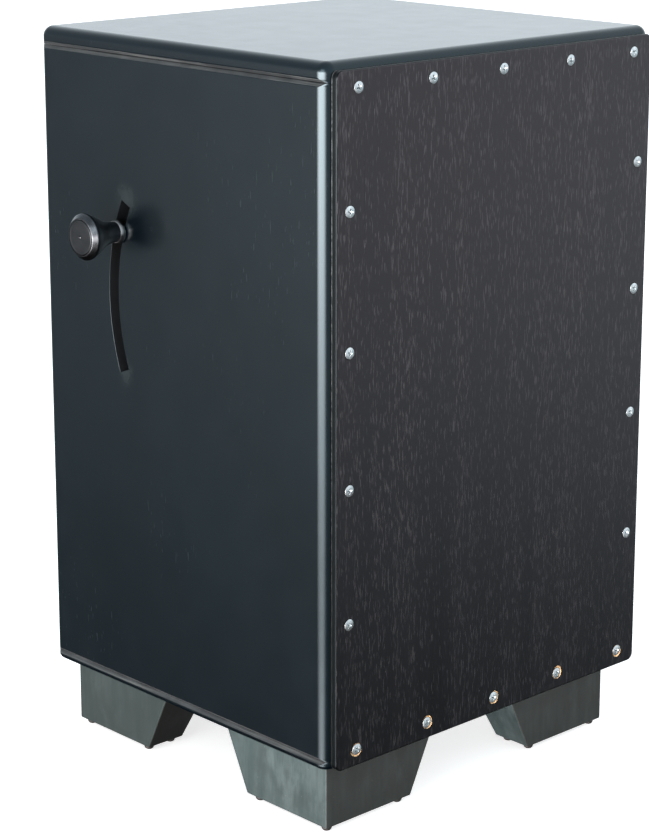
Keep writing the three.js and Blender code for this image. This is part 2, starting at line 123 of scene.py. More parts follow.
SHOULDER_BY_HEIGHT = ((-0.46, 0.0), (-0.36, 0.05), (-0.3, 0.3), (-0.24, 0.8), (-0.17, 1.0), (-0.11, 0.5),
                      (0.0, 0.3))
KEY_AZIMUTH, KEY_DISTANCE, KEY_HEIGHT, KEY_AIM_HEIGHT = 196, 1.7, 0.95, 0.25
KEY_SIZE, KEY_RADIANCE, KEY_COLOUR = 0.9, 5.0, (0.97, 0.99, 1.0)
FLOOR_HALF_WIDTH, FLOOR_CELLS = 14.0, 28


# Materials.

def connect(node, name, value):
    """Links a socket to the named input, or sets a plain value on it. Colours are (r, g, b)."""
    target = node.inputs[name]
    if isinstance(value, bpy.types.NodeSocket):
        node.id_data.links.new(value, target)
    else:
        target.default_value = (*value, 1.0) if target.type == "RGBA" else value


class Nodes:
    """Builds a node tree. All its methods except node() return sockets."""

    def __init__(self, tree):
        self.tree = tree

    def node(self, kind, inputs=None, **settings):
        """A new node, with its inputs given by name or number."""
        made = self.tree.nodes.new(kind)
        for key, value in settings.items():
            setattr(made, key, value)
        for name, value in (inputs or {}).items():
            connect(made, name, value)
        return made

    def math(self, operation, a, b=0.0):
        """One step of arithmetic."""
        return self.node("ShaderNodeMath", {0: a, 1: b}, operation=operation).outputs["Value"]

    plus = partialmethod(math, "ADD")
    minus = partialmethod(math, "SUBTRACT")
    times = partialmethod(math, "MULTIPLY")

    def vector(self, operation, first, second=None, output="Vector"):
        """One step of vector arithmetic."""
        inputs = {0: first}
        if second is not None:
            inputs["Scale" if operation == "SCALE" else 1] = second
        return self.node("ShaderNodeVectorMath", inputs, operation=operation).outputs[output]

    def spread(self, value, low, high, out_low=0.0, out_high=1.0):
        """Maps low..high smoothly to out_low..out_high, held at the ends."""
        inputs = {"Value": value, "From Min": low, "From Max": high, "To Min": out_low, "To Max": out_high}
        return self.node("ShaderNodeMapRange", inputs, interpolation_type="SMOOTHSTEP").outputs["Result"]

    def parts(self, vector):
        """The X, Y and Z of a vector."""
        return self.node("ShaderNodeSeparateXYZ", {"Vector": vector}).outputs


class Look(Nodes):
    """A procedural material under construction."""

    def __init__(self, name):
        self.material = bpy.data.materials.new(name)
        self.material.use_nodes = True
        super().__init__(self.material.node_tree)

    def finish(self, **values):
        """Sets the shader's inputs, named with _ for a space, and returns the material."""
        for name, value in values.items():
            connect(self.tree.nodes["Principled BSDF"], name.replace("_", " "), value)
        return self.material

    def place(self, scale=(1, 1, 1), shift=(0, 0, 0), turn=(0, 0, 0)):
        """The point on the object, moved, turned (degrees) and scaled."""
        point = self.node("ShaderNodeTexCoord").outputs["Object"]
        rotation = [math.radians(angle) for angle in turn]
        inputs = {"Vector": point, "Location": shift, "Rotation": rotation, "Scale": scale}
        return self.node("ShaderNodeMapping", inputs).outputs["Vector"]

    def facing(self, axis):
        """How squarely the surface faces along an axis, either way: 0 to 1."""
        normal = self.node("ShaderNodeNewGeometry").outputs["Normal"]
        return self.math("ABSOLUTE", self.parts(normal)[axis])

    def noise(self, point, scale=1.0, detail=2.0, roughness=0.5):
        """Cloudy noise, mostly between 0.25 and 0.75."""
        inputs = {"Vector": point, "Scale": scale, "Detail": detail, "Roughness": roughness}
        return self.node("ShaderNodeTexNoise", inputs).outputs["Fac"]

    def turned(self, across, along=0.0):
        """Points for noise that runs in rings about the piece's own Z axis."""
        x, y, z = self.parts(self.place())
        radius = self.math("SQRT", self.plus(self.times(x, x), self.times(y, y)))
        inputs = {"X": self.times(radius, across), "Y": self.times(z, along)}
        return self.node("ShaderNodeCombineXYZ", inputs).outputs["Vector"]

    def far_from(self, point, centre, flatten):
        """Distance from a centre, with each axis scaled by flatten."""
        away = self.vector("SUBTRACT", point, centre)
        return self.vector("LENGTH", self.vector("MULTIPLY", away, flatten), output="Value")

    def mix(self, share, a, b):
        """A share of colour b in colour a."""
        return self.node("ShaderNodeMix", {0: share, 6: a, 7: b}, data_type="RGBA").outputs[2]

    def ramp(self, share, low, middle, high):
        """A colour by share, through three colours."""
        made = self.node("ShaderNodeValToRGB", {"Fac": share})
        elements = made.color_ramp.elements
        elements.new(0.5)
        for element, colour in zip(elements, (low, middle, high)):
            element.color = (*colour, 1.0)
        return made.outputs["Color"]

    def bump(self, height, depth, strength, under=None):
        """A normal for relief that deep, on top of another relief where one is given."""
        inputs = {"Height": height, "Distance": depth, "Strength": strength}
        if under is not None:
            inputs["Normal"] = under
        return self.node("ShaderNodeBump", inputs).outputs["Normal"]


def lacquer(name, worn_spots=()):
    """Satin black lacquer: faint clouds, orange peel and hairline rub marks. Each worn spot is
    (centre, radius), where the finish is scuffed paler."""
    look = Look(name)
    here = look.place()
    clouds = look.noise(here, 7.0, 4.0, 0.55)
    mottle = look.noise(here, 55.0, 3.0, 0.6)
    colour = look.mix(look.spread(clouds, 0.3, 0.7), (0.0003, 0.0012, 0.0021), (0.0006, 0.0019, 0.0031))
    # Hairlines: long thin streaks that run diagonally, kept to a few patches.
    streaks = look.noise(look.place((30, 900, 110), turn=(38, 0, 12)), 1.0, 2.0, 0.5)
    patches = look.spread(look.noise(look.place(shift=(3, 1, 2)), 11.0, 1.0), 0.5, 0.68)
    hairlines = look.times(look.spread(streaks, 0.66, 0.74), patches)
    colour = look.mix(look.times(hairlines, 0.2), colour, (0.016, 0.02, 0.022))
    roughness = look.spread(mottle, 0.25, 0.75, 0.225, 0.24)
    # The flat faces were rubbed a little duller than the rounded edges.
    roughness = look.plus(roughness, look.spread(look.facing("X"), 0.93, 0.999, 0.0, 0.02))
    roughness = look.plus(roughness, look.times(hairlines, 0.05))
    for centre, radius in worn_spots:
        ragged = look.times(look.noise(look.place((260, 90, 130)), 1.0, 4.0, 0.7), radius * 1.6)
        edge = look.plus(look.far_from(here, centre, (0.3, 1, 0.75)), ragged)
        scuffed = look.spread(edge, radius * 0.7, radius * 1.9, 0.5, 0.0)
        colour = look.mix(look.times(scuffed, 0.6), colour, (0.011, 0.015, 0.016))
        roughness = look.plus(roughness, look.times(scuffed, 0.1))
    normal = look.bump(look.noise(here, 380.0, 2.0, 0.5), 0.006 * MM, 0.4)
    normal = look.bump(hairlines, 0.006 * MM, 0.4, normal)
    return look.finish(Base_Color=colour, Roughness=roughness, Normal=normal, IOR=1.47,
                       Specular_Tint=(0.63, 0.87, 0.98))


def veneer():
    """Black-stained open-pored veneer with upright grain."""
    look = Look("black_veneer")
    here = look.place()
    # The grain wanders a little from side to side.
    wander = look.minus(look.noise(look.place((9, 9, 2.2)), 1.0, 2.0), 0.5)
    sway = look.node("ShaderNodeCombineXYZ", {"X": look.times(wander, 0.02)}).outputs["Vector"]
    bent = look.vector("ADD", here, sway)

    def along_grain(across, along, shift=0.0):
        """Points for noise that is drawn out upwards."""
        place = {"Scale": (across, 60, along), "Location": (shift, shift * 0.7, shift * 1.3)}
        return look.node("ShaderNodeMapping", {"Vector": bent, **place}).outputs["Vector"]

    bands = look.noise(along_grain(55, 1.6), 1.0, 3.0, 0.6)
    fine = look.noise(along_grain(900, 22, 4.0), 1.0, 2.0, 0.6)
    density = look.spread(bands, 0.35, 0.68, -0.035, 0.03)
    pores = look.noise(along_grain(1500, 135, 1.7), 1.0, 1.0, 0.4)
    pores = look.spread(look.plus(pores, density), 0.615, 0.69)
    dashes = look.noise(along_grain(1050, 100, 9.2), 1.0, 1.0, 0.4)
    dashes = look.spread(look.plus(dashes, density), 0.65, 0.75)
    marks = look.math("MAXIMUM", pores, dashes)

    base = look.mix(look.spread(bands, 0.3, 0.7), (0.0018, 0.0014, 0.0018), (0.0034, 0.0027, 0.0031))
    base = look.mix(look.spread(fine, 0.35, 0.75, 0.0, 0.5), base, (0.0012, 0.0011, 0.0014))
    base = look.mix(look.times(marks, 0.8), base, (0.044, 0.044, 0.048))
    # Painted shade: the plate is darker towards its foot, standing in for the dimmer light low down.
    painted_shade_low = look.spread(look.parts(here)["Z"], box_bottom + 0.01, box_bottom + 0.36, 0.72, 0.0)
    base = look.mix(painted_shade_low, base, (0.0004, 0.0006, 0.0008))

    roughness = look.spread(bands, 0.25, 0.75, 0.27, 0.32)
    roughness = look.plus(roughness, look.times(marks, 0.2))
    normal = look.bump(fine, 0.035 * MM, 0.6)
    normal = look.bump(look.minus(1.0, marks), 0.05 * MM, 0.6, normal)
    return look.finish(Base_Color=base, Roughness=roughness, Normal=normal, IOR=1.5,
                       Specular_Tint=(1.0, 0.90, 0.97))


def painted_plies():
    """The tapa's edge: thin dull black paint, through which the plies show."""
    look = Look("painted_plies")
    here = look.place()
    depth = look.minus(look.parts(here)["Y"], tapa_front)
    number = look.math("DIVIDE", look.minus(depth, 0.55 * MM), 1.15 * MM)
    parity = look.math("PINGPONG", number, 1.0)
    colour = look.mix(look.spread(parity, 0.25, 0.75), (0.0004, 0.0006, 0.0008), (0.0016, 0.0020, 0.0022))
    grain = look.noise(look.place((240, 2600, 90)), 1.0, 3.0, 0.6)
    colour = look.mix(look.spread(grain, 0.5, 0.75, 0.0, 0.6), colour, (0.0065, 0.0085, 0.0090))
    # Bare fibres along the seam with the side panel, made pale partly as a painted highlight on that edge,
    # and faded lower down as that painted highlight dims.
    seam = tapa_high.y - tapa_front
    fibres = look.noise(look.place((300, 300, 420)), 1.0, 3.0, 0.6)
    fibres = look.times(look.spread(fibres, 0.38, 0.62, 0.25, 1.0),
                        look.spread(depth, seam - 1.0 * MM, seam - 0.5 * MM))
    painted_highlight_by_height = look.spread(look.parts(here)["Z"], box_bottom + 0.05, box_top, 0.08, 1.0)
    colour = look.mix(look.times(fibres, painted_highlight_by_height), colour, (0.054, 0.060, 0.064))
    return look.finish(Base_Color=colour, Roughness=look.spread(grain, 0.3, 0.7, 0.26, 0.36),
                       Normal=look.bump(grain, 0.04 * MM, 0.5), IOR=1.25, Specular_Tint=(0.64, 0.88, 1.0))


def thin_paint_painted_light(name, strength):
    """Where the cutter left a groove or slot: one thin coat, through which the grain lines show. Its
    paleness is partly painted light.
    """
    look = Look(name)
    lines = look.noise(look.place((260, 14, 1500)), 1.0, 3.0, 0.6)
    patches = look.noise(look.place(shift=(1, 0, 2)), 60.0, 3.0, 0.6)
    colour = look.mix(look.spread(patches, 0.35, 0.7), (0.010, 0.014, 0.016), (0.024, 0.030, 0.033))
    colour = look.mix(look.spread(lines, 0.5, 0.68, 0.0, 0.8), colour, (0.070, 0.082, 0.084))
    # Painted light: strength is the share of the pale grained colour, standing in for light on the groove
    # flanks and, more faintly, on the slot's walls.
    colour = look.mix(strength, (0.0, 0.0006, 0.0016), colour)
    return look.finish(Base_Color=colour, Roughness=look.spread(lines, 0.3, 0.7, 0.42, 0.6),
                       Normal=look.bump(lines, 0.06 * MM, 0.6))


def raw_wood(name, along):
    """Unfinished softwood with grain along one axis."""
    look = Look(name)
    pale, dark = (0.56, 0.39, 0.22), (0.36, 0.21, 0.095)
    scale = [9.0 if axis == along else 210.0 for axis in "XYZ"]
    waves = {"Vector": look.place([s * 0.32 for s in scale]), "Scale": 1.0, "Distortion": 5.0,
             "Detail": 2.0, "Detail Scale": 1.5}
    rings = look.node("ShaderNodeTexWave", waves, bands_direction="DIAGONAL").outputs["Fac"]
    fibres = look.noise(look.place([s * 6 for s in scale]), 1.0, 3.0, 0.6)
    patches = look.noise(look.place(), 18.0, 2.0)
    colour = look.mix(look.spread(rings, 0.45, 0.95), pale, dark)
    colour = look.mix(look.spread(fibres, 0.45, 0.8, 0.0, 0.45), colour, tuple(c * 0.55 for c in dark))
    colour = look.mix(look.spread(patches, 0.35, 0.7, 0.0, 0.3), colour, tuple(c * 1.15 for c in pale))
    return look.finish(Base_Color=colour, Normal=look.bump(fibres, 0.08 * MM, 0.5),
                       Roughness=look.spread(fibres, 0.3, 0.7, 0.58, 0.72))


def chipped_ply():
    """The torn rim of a screw hole: bare wood low on the plate, stained darker higher up."""
    look = Look("screw_hole_rim")
    here = look.place()
    fibres = look.noise(look.place((1500, 1500, 420)), 1.0, 3.0, 0.6)
    bare = look.mix(fibres, (0.62, 0.36, 0.16), (0.80, 0.58, 0.34))
    height = look.plus(look.parts(here)["Z"], look.times(look.noise(here, 900.0), 0.03))
    stained = look.spread(height, 0.085, 0.115)
    colour = look.mix(stained, bare, (0.030, 0.028, 0.028))
    return look.finish(Base_Color=colour, Roughness=0.75, Normal=look.bump(fibres, 0.15 * MM, 0.8))


def stained_wood():
    """Feet: a thin dark stain that has soaked into the end grain at the front and back, paler and smeared
    down the sides; painted shade darkens the feet at the back, and all are a little darker near the floor."""
    look = Look("stained_wood")
    here = look.place()
    streaks = look.noise(look.place((95, 95, 13), turn=(0, 0, 4)), 1.0, 4.0, 0.6)
    fibres = look.noise(look.place((700, 700, 60), shift=(2, 5, 1)), 1.0, 2.0, 0.6)
    clouds = look.noise(look.place(shift=(0.4, 0.2, 0.7)), 42.0, 5.0, 0.65)
    smears = look.noise(look.place((70, 70, 30), turn=(24, 18, 0)), 1.0, 4.0, 0.65)
    specks = look.node("ShaderNodeTexVoronoi", {"Vector": look.place((1, 1, 0.6)), "Scale": 190.0})
    colour = look.ramp(look.spread(streaks, 0.25, 0.78), (0.0138, 0.0222, 0.0236),
                       (0.0228, 0.0330, 0.0350), (0.0360, 0.0490, 0.0508))
    colour = look.mix(look.spread(clouds, 0.42, 0.64, 0.0, 0.6), colour, (0.0112, 0.0163, 0.0168))
    colour = look.mix(look.spread(smears, 0.52, 0.72, 0.0, 0.6), colour, (0.0424, 0.058, 0.061))
    colour = look.mix(look.spread(fibres, 0.52, 0.8, 0.0, 0.4), colour, (0.010, 0.012, 0.0115))
    specks = look.spread(specks.outputs["Distance"], 0.0, 0.08, 0.6, 0.0)
    colour = look.mix(specks, colour, (0.12, 0.12, 0.10))
    end_grain = look.spread(look.facing("Y"), 0.5, 0.8)
    colour = look.mix(look.times(end_grain, 0.45), colour, (0.040, 0.031, 0.026))
    # Painted shade: the feet further back are darker, standing in for light that falls off away from the
    # front. Near the floor all of them are a little darker.
    depth = look.minus(look.parts(here)["Y"], tapa_front)
    painted_light_by_depth = look.spread(depth, 0.1, 0.18, 1.0, 0.37)
    near_floor_factor = look.spread(look.parts(here)["Z"], 0.0, 0.7 * box_bottom, 0.78, 1.0)
    colour = look.mix(look.minus(1.0, look.times(painted_light_by_depth, near_floor_factor)), colour, (0.002, 0.002, 0.002))
    return look.finish(Base_Color=colour, Normal=look.bump(fibres, 0.04 * MM, 0.5),
                       Roughness=look.spread(streaks, 0.3, 0.7, 0.6, 0.5), IOR=1.4,
                       Specular_Tint=(0.55, 0.82, 0.82))


def metal(name, pale, dark, low_roughness, high_roughness, grain):
    """Plain metal with handling marks and a finish whose grain size is given in noise scale."""
    look = Look(name)
    here = look.place()
    stains = look.noise(here, grain * 0.12, 3.0, 0.6)
    surface = look.noise(here, grain, 3.0, 0.6)
    colour = look.mix(look.spread(stains, 0.3, 0.72), pale, dark)
    roughness = look.spread(surface, 0.3, 0.75, low_roughness, high_roughness)
    return look.finish(Base_Color=colour, Metallic=1.0, Roughness=roughness,
                       Normal=look.bump(surface, 0.02 * MM, 0.5))


def turned_metal(name, pale, dark):
    """Metal turned on a lathe: fine rings about the piece's own Z axis."""
    look = Look(name)
    rings = look.noise(look.turned(5200.0, 3600.0), 1.0, 3.0, 0.65)
    smudges = look.noise(look.place(), 170.0, 3.0, 0.6)
    tangent = look.node("ShaderNodeTangent", direction_type="RADIAL", axis="Z").outputs["Tangent"]
    return look.finish(Base_Color=look.mix(look.spread(smudges, 0.35, 0.7), pale, dark), Metallic=1.0,
                       Roughness=look.spread(rings, 0.3, 0.7, 0.2, 0.34), Anisotropic=0.45,
                       Normal=look.bump(rings, 0.012 * MM, 0.6), Tangent=tangent)


def turned_black():
    """Knob body: satin black with faint turning rings on its face and a dusty bloom."""
    look = Look("knob_black")
    rings = look.noise(look.turned(2600.0), 1.0, 2.0, 0.5)
    dust = look.noise(look.place(), 240.0, 4.0, 0.65)
    colour = look.mix(look.spread(dust, 0.42, 0.78), (0.0042, 0.0062, 0.0082), (0.0090, 0.0120, 0.0145))
    outwards = look.parts(look.place())["Z"]
    colour = look.mix(look.spread(outwards, 29 * MM, 31 * MM), colour, (0.0008, 0.0012, 0.0016))
    return look.finish(Base_Color=colour, Roughness=look.spread(dust, 0.3, 0.7, 0.32, 0.42),
                       Normal=look.bump(rings, 0.012 * MM, 0.6), IOR=1.38, Specular_Tint=(0.75, 0.9, 1.0))


def dark_plastic():
    """Moulded plastic, finely pitted and dusty."""
    look = Look("stud_plastic")
    here = look.place()
    texture = look.noise(here, 900.0, 3.0, 0.6)
    dust = look.noise(here, 135.0, 3.0, 0.6)
    colour = look.mix(look.spread(dust, 0.4, 0.8), (0.010, 0.0105, 0.011), (0.028, 0.028, 0.027))
    return look.finish(Base_Color=colour, Roughness=look.spread(texture, 0.3, 0.7, 0.42, 0.58),
                       Normal=look.bump(texture, 0.03 * MM, 0.5))


# Mesh building.

def link(piece):
    """Puts a new object in the scene."""
    bpy.context.scene.collection.objects.link(piece)
    return piece


def shade(mesh, sharp_angle=30):
    """Smooth faces, apart from edges that are sharper than the angle, in degrees."""
    mesh.polygons.foreach_set("use_smooth", [True] * len(mesh.polygons))
    mesh.set_sharp_from_angle(angle=math.radians(sharp_angle))


def add_mesh(name, points, faces, *looks, sharp_angle=30):
    """A new piece that has the given materials, the first of them on every face."""
    mesh = bpy.data.meshes.new(name)
    mesh.from_pydata([tuple(p) for p in points], [], faces)
    mesh.validate()
    shade(mesh, sharp_angle)
    for look in looks:
        mesh.materials.append(look)
    return link(bpy.data.objects.new(name, mesh))


def band_faces(count, rows, wrap=False):
    """Faces between neighbouring rows of count points, and from the last to the first with wrap."""
    faces = []
    for k in range(rows if wrap else rows - 1):
        a, b = k * count, (k + 1) % rows * count
        for i in range(count):
            j = (i + 1) % count
            faces.append((a + i, a + j, b + j, b + i))
    return faces


def loft_faces(count, rows):
    """The faces of a closed solid through rows of count points."""
    last = (rows - 1) * count
    return band_faces(count, rows) + [tuple(reversed(range(count))), tuple(range(last, last + count))]


def add_loft(name, rings, *looks):
    """A closed solid through rings of equal length, anticlockwise seen from the last ring's side."""
    points = [p for ring in rings for p in ring]
    return add_mesh(name, points, loft_faces(len(rings[0]), len(rings)), *looks)


def in_mm(profile):
    """A profile that is given in millimetres."""
    return [(radius * MM, height * MM) for radius, height in profile]


def lathe_mesh(name, profile, segments, *looks, wobble=None):
    """A turned solid about +Z through (radius, height) points. A profile that starts or ends off
    the axis is closed back to its start, as a ring."""
    def row_point(radius, height, i):
        angle = 2 * math.pi * i / segments
        reach = radius * (1 + (wobble(angle) if wobble else 0))
        return (reach * math.cos(angle), reach * math.sin(angle), height)

    solid = profile[0][0] == 0 and profile[-1][0] == 0
    middle = profile[1:-1] if solid else profile
    points = [row_point(r, h, i) for r, h in middle for i in range(segments)]
    faces = band_faces(segments, len(middle), wrap=not solid)
    if solid:
        last_row = (len(middle) - 1) * segments
        first, last = len(points), len(points) + 1
        points += [(0, 0, profile[0][1]), (0, 0, profile[-1][1])]
        for i in range(segments):
            j = (i + 1) % segments
            faces += [(first, j, i), (last, last_row + i, last_row + j)]
    return add_mesh(name, points, faces, *looks)


def bake(piece):
    """Replaces the piece's mesh by what its modifiers make of it."""
    graph = bpy.context.evaluated_depsgraph_get()
    mesh = bpy.data.meshes.new_from_object(piece.evaluated_get(graph))
    piece.modifiers.clear()
    piece.data = mesh


def cut_away(piece, cutters):
    """Cuts the cutters out of the piece and removes them."""
    for cutter in cutters:
        cut = piece.modifiers.new("cut", "BOOLEAN")
        cut.operation = "DIFFERENCE"
        cut.solver = "EXACT"
        cut.object = cutter
    bake(piece)
    for cutter in cutters:
        bpy.data.objects.remove(cutter)
    shade(piece.data)


def even_shading(piece):
    """Lets the large faces rule the shading."""
    weighted = piece.modifiers.new("even_shading", "WEIGHTED_NORMAL")
    weighted.keep_sharp = True
    weighted.weight = 100


def ease(piece, width, angle, segments=2):
    """Softens edges that are sharper than the angle, in degrees, and evens the shading."""
    bevel = piece.modifiers.new("ease", "BEVEL")
    bevel.width = width
    bevel.segments = segments
    bevel.limit_method = "ANGLE"
    bevel.angle_limit = math.radians(angle)
    even_shading(piece)


def settle(piece, body, slot, *nodes):
    """Puts the piece on its body, and in the place of the CAD nodes that it shows. The slot is not used."""
    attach(piece, body)
    if nodes:
        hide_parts(*nodes)


def axes(x, y, z, origin):
    """A placement whose own axes point along the given directions."""
    matrix = Matrix((x, y, z)).transposed().to_4x4()
    matrix.translation = origin
    return matrix


OUT_FRONT = ((1, 0, 0), (0, 0, 1), (0, -1, 0))
OUT_LEFT = ((0, 1, 0), (0, 0, -1), (-1, 0, 0))


def rounded_outline(x0, x1, y0, y1, radius, side_cut=0.0):
    """A rounded rectangle, anticlockwise, whose two x sides are shaved by side_cut."""
    start = math.acos(1 - side_cut / radius) if side_cut > 0 else 0.0
    quarter = math.pi / 2
    corners = (
        (x1 - radius, y1 - radius, start, quarter),
        (x0 + radius, y1 - radius, quarter, 2 * quarter - start),
        (x0 + radius, y0 + radius, 2 * quarter + start, 3 * quarter),
        (x1 - radius, y0 + radius, 3 * quarter, 4 * quarter - start),
    )
    outline = []
    for cx, cy, a, b in corners:
        for i in range(ARC_STEPS + 1):
            turn = a + (b - a) * i / ARC_STEPS
            outline.append((cx + radius * math.cos(turn), cy + radius * math.sin(turn)))
    return outline


def quarter_round(radius, steps=ARC_STEPS):
    """(inset, rise) along a quarter-round, from upright to flat."""
    turns = (i / steps * math.pi / 2 for i in range(steps + 1))
    return [(radius * (1 - math.cos(t)), radius * math.sin(t)) for t in turns]


def groove_profile(start):
    """(distance from the joint, cut into the side) down one flank of the V-groove and over its lip."""
    flank = [(d, GROOVE_DEPTH * (1 - d / GROOVE_HALF_WIDTH)) for d in (start, 0.78 * GROOVE_HALF_WIDTH)]
    lip = ((0.9, 0.27 * MM), (1.02, 0.08 * MM), (1.16, 0.0))
    return flank + [(share * GROOVE_HALF_WIDTH, cut) for share, cut in lip]


# The box.

def paint_groove(piece, joint, index):
    """Gives the flanks of the groove at that height the material with that index."""
    for face in piece.data.polygons:
        near = abs(face.center.z - joint) < 0.87 * GROOVE_HALF_WIDTH
        if near and abs(face.normal.z) > 0.3 and abs(face.normal.x) > 0.3:
            face.material_index = index


def top_and_bottom_boards():
    """The top and bottom boards, each from its half of the groove to its rounded outer edge."""
    x0, x1, y0, y1 = outer_left, outer_right, top_low.y, top_high.y
    for name, joint, up, edge_radius, outer_level in (
            ("top", top_joint, 1, TOP_EDGE_RADIUS, box_top),
            ("bottom", bottom_joint, -1, BOTTOM_EDGE_RADIUS, box_bottom)):
        rings = []
        for distance, cut in groove_profile(0.0):
            plan = rounded_outline(x0, x1, y0, y1, EDGE_RADIUS, cut)
            rings.append([(x, y, joint + up * distance) for x, y in plan])
        shoulder = outer_level - up * edge_radius
        for inset, rise in quarter_round(edge_radius):
            radius = max(EDGE_RADIUS - inset, SMALLEST_RADIUS)
            plan = rounded_outline(x0 + inset, x1 - inset, y0 + inset, y1 - inset, radius)
            rings.append([(x, y, shoulder + up * rise) for x, y in plan])
        if up < 0:
            rings = [list(reversed(ring)) for ring in rings]
        piece = add_loft(f"{name}_board", rings, lacquered, groove_coat_painted_light)
        paint_groove(piece, joint, 1)
        even_shading(piece)
        settle(piece, "cabinet", "black_lacquer", f"{name}_panel")


def slot_point(angle, radius=slot_radius):
    """(y, z) of the point at that angle, in radians, about the snare's pivot."""
    return pivot.y + radius * math.cos(angle), pivot.z + radius * math.sin(angle)


def slot_cutter():
    """The lever's slot: an arc of constant width about the snare's pivot."""
    low, high, steps = math.radians(SLOT_LOW), math.radians(SLOT_HIGH), 48
    angles = [low + (high - low) * i / steps for i in range(steps + 1)]
    corners = [slot_point(angle, slot_radius + SLOT_HALF_WIDTH) for angle in angles]
    corners += [slot_point(angle, slot_radius - SLOT_HALF_WIDTH) for angle in reversed(angles)]
    rings = [[(x, y, z) for y, z in corners] for x in (outer_left - 5 * MM, inner_left + 5 * MM)]
    return add_loft("slot_cutter", rings)


def side_boards():
    """The side boards, between the flanks of the grooves above and below them. The left one has the
    lever's slot."""
    low, high = left_low.z, left_high.z
    gap = low - bottom_joint
    levels = [(low + d - gap, cut) for d, cut in groove_profile(gap)]
    levels += [(high - d + gap, cut) for d, cut in reversed(groove_profile(gap))]
    strip = 60 * MM
    corner = ARC_STEPS + 1
    for name, inner, outer in (("left", inner_left, outer_left), ("right", inner_right, outer_right)):
        on_left = outer < inner
        x0, x1 = (outer, outer + strip) if on_left else (outer - strip, outer)
        rings = []
        for z, cut in levels:
            # The two outer corners of a strip's outline, closed by the flat inner face.
            plan = rounded_outline(x0, x1, frame_front, box_back, EDGE_RADIUS, cut)
            if on_left:
                plan = [(inner, box_back)] + plan[corner:3 * corner] + [(inner, frame_front)]
            else:
                plan = [(inner, frame_front)] + plan[3 * corner:] + plan[:corner] + [(inner, box_back)]
            rings.append([(x, y, z) for x, y in plan])
        finish = lacquered_side if on_left else lacquered
        piece = add_loft(f"{name}_board", rings, finish, bare_wood_up, groove_coat_painted_light, slot_paint_painted_light)
        if on_left:
            cut_away(piece, [slot_cutter()])
        for face in piece.data.polygons:
            from_pivot = math.hypot(face.center.y - pivot.y, face.center.z - pivot.z)
            if abs(face.center.x - inner) < ON_PLANE:
                face.material_index = 1
            elif abs(face.normal.x) < 0.3 and abs(from_pivot - slot_radius) < 6 * MM:
                face.material_index = 3
        paint_groove(piece, top_joint, 2)
        paint_groove(piece, bottom_joint, 2)
        ease(piece, 0.12 * MM, angle=70)
        settle(piece, "cabinet", "black_lacquer", f"{name}_side_panel")


def back_board():
    """The back with its round sound hole, built as rings that run from the hole to the border."""
    steps = 160
    x0, x1, z0, z1 = back_low.x, back_high.x, back_low.z, back_high.z
    front, back = back_low.y, back_high.y
    cx, cz = SOUND_HOLE_CENTRE.x, SOUND_HOLE_CENTRE.z
    angles = [2 * math.pi * i / steps for i in range(steps)]
    for corner in [math.atan2(z - cz, x - cx) % (2 * math.pi) for x in (x0, x1) for z in (z0, z1)]:
        nearest = min(range(steps), key=lambda i: abs(angles[i] - corner))
        angles[nearest] = corner

    def reach(low, high, centre, step):
        """How many steps away from the centre the border is."""
        if abs(step) < 1e-9:
            return math.inf
        return ((high if step > 0 else low) - centre) / step

    def border(y):
        """The board's outline, one point for each angle."""
        ring = []
        for dx, dz in [(math.cos(angle), math.sin(angle)) for angle in angles]:
            far = min(reach(x0, x1, cx, dx), reach(z0, z1, cz, dz))
            ring.append((cx + dx * far, y, cz + dz * far))
        return ring

    def circle(y, radius):
        """A circle about the hole's centre."""
        return [(cx + radius * math.cos(angle), y, cz + radius * math.sin(angle)) for angle in angles]

    rings = [border(front), border(back), circle(back, SOUND_HOLE_RADIUS + SOUND_HOLE_EASE + 1 * MM)]
    for inset, rise in reversed(quarter_round(SOUND_HOLE_EASE, 6)):
        rings.append(circle(back - SOUND_HOLE_EASE + rise, SOUND_HOLE_RADIUS + inset))
    rings.append(circle(front, SOUND_HOLE_RADIUS))
    points = [p for ring in rings for p in ring]
    faces = [(a, d, c, b) for a, b, c, d in band_faces(steps, len(rings), wrap=True)]
    piece = add_mesh("back_board", points, faces, lacquered, bare_wood_up)
    for face in piece.data.polygons:
        if abs(face.center.y - front) < ON_PLANE:
            face.material_index = 1
    even_shading(piece)
    settle(piece, "cabinet", "black_lacquer", "back_panel")


# The tapa and its screws.

def screw_place(node):
    """The middle of the screw's head, on the tapa's face."""
    low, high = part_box(node)
    return Vector(((low.x + high.x) / 2, tapa_front, (low.z + high.z) / 2))


SCREW_PLACES = {name: screw_place(name) for name in sorted(frame["nodes"]) if name.startswith("tapa_screw_")}


def hole_cutters(rng):
    """One countersunk hole for each screw. Its torn rim is wider than the head, and off to one
    side, most of all along the bottom of the plate."""
    cutters = []
    for node, centre in SCREW_PLACES.items():
        low_down = "bottom" in node
        radius = rng.uniform(4.35, 4.6) * MM if low_down else rng.uniform(3.9, 4.1) * MM
        waves = [(k, rng.uniform(0.2, 1.0) * 0.035, rng.uniform(0, 2 * math.pi)) for k in (2, 3, 5, 9)]
        profile = in_mm([(0, -6), (1.9, -6), (1.9, -2.9), (3.7, -0.75)]) + [
            (radius - 0.2 * MM, -0.45 * MM), (radius, 0), (radius + 0.1 * MM, 1 * MM), (0, 1 * MM)]
        cutter = lathe_mesh(
            "hole_cutter", profile, 40,
            wobble=lambda angle, waves=waves: sum(s * math.sin(k * angle + p) for k, s, p in waves))
        turn = rng.uniform(0, 2 * math.pi)
        drift = rng.uniform(0.35, 0.6) * MM if low_down else rng.uniform(0.0, 0.12) * MM
        origin = centre + Vector((math.cos(turn) * drift, 0, math.sin(turn) * drift))
        cutter.matrix_world = axes(*OUT_FRONT, origin)
        cutters.append(cutter)
    return cutters


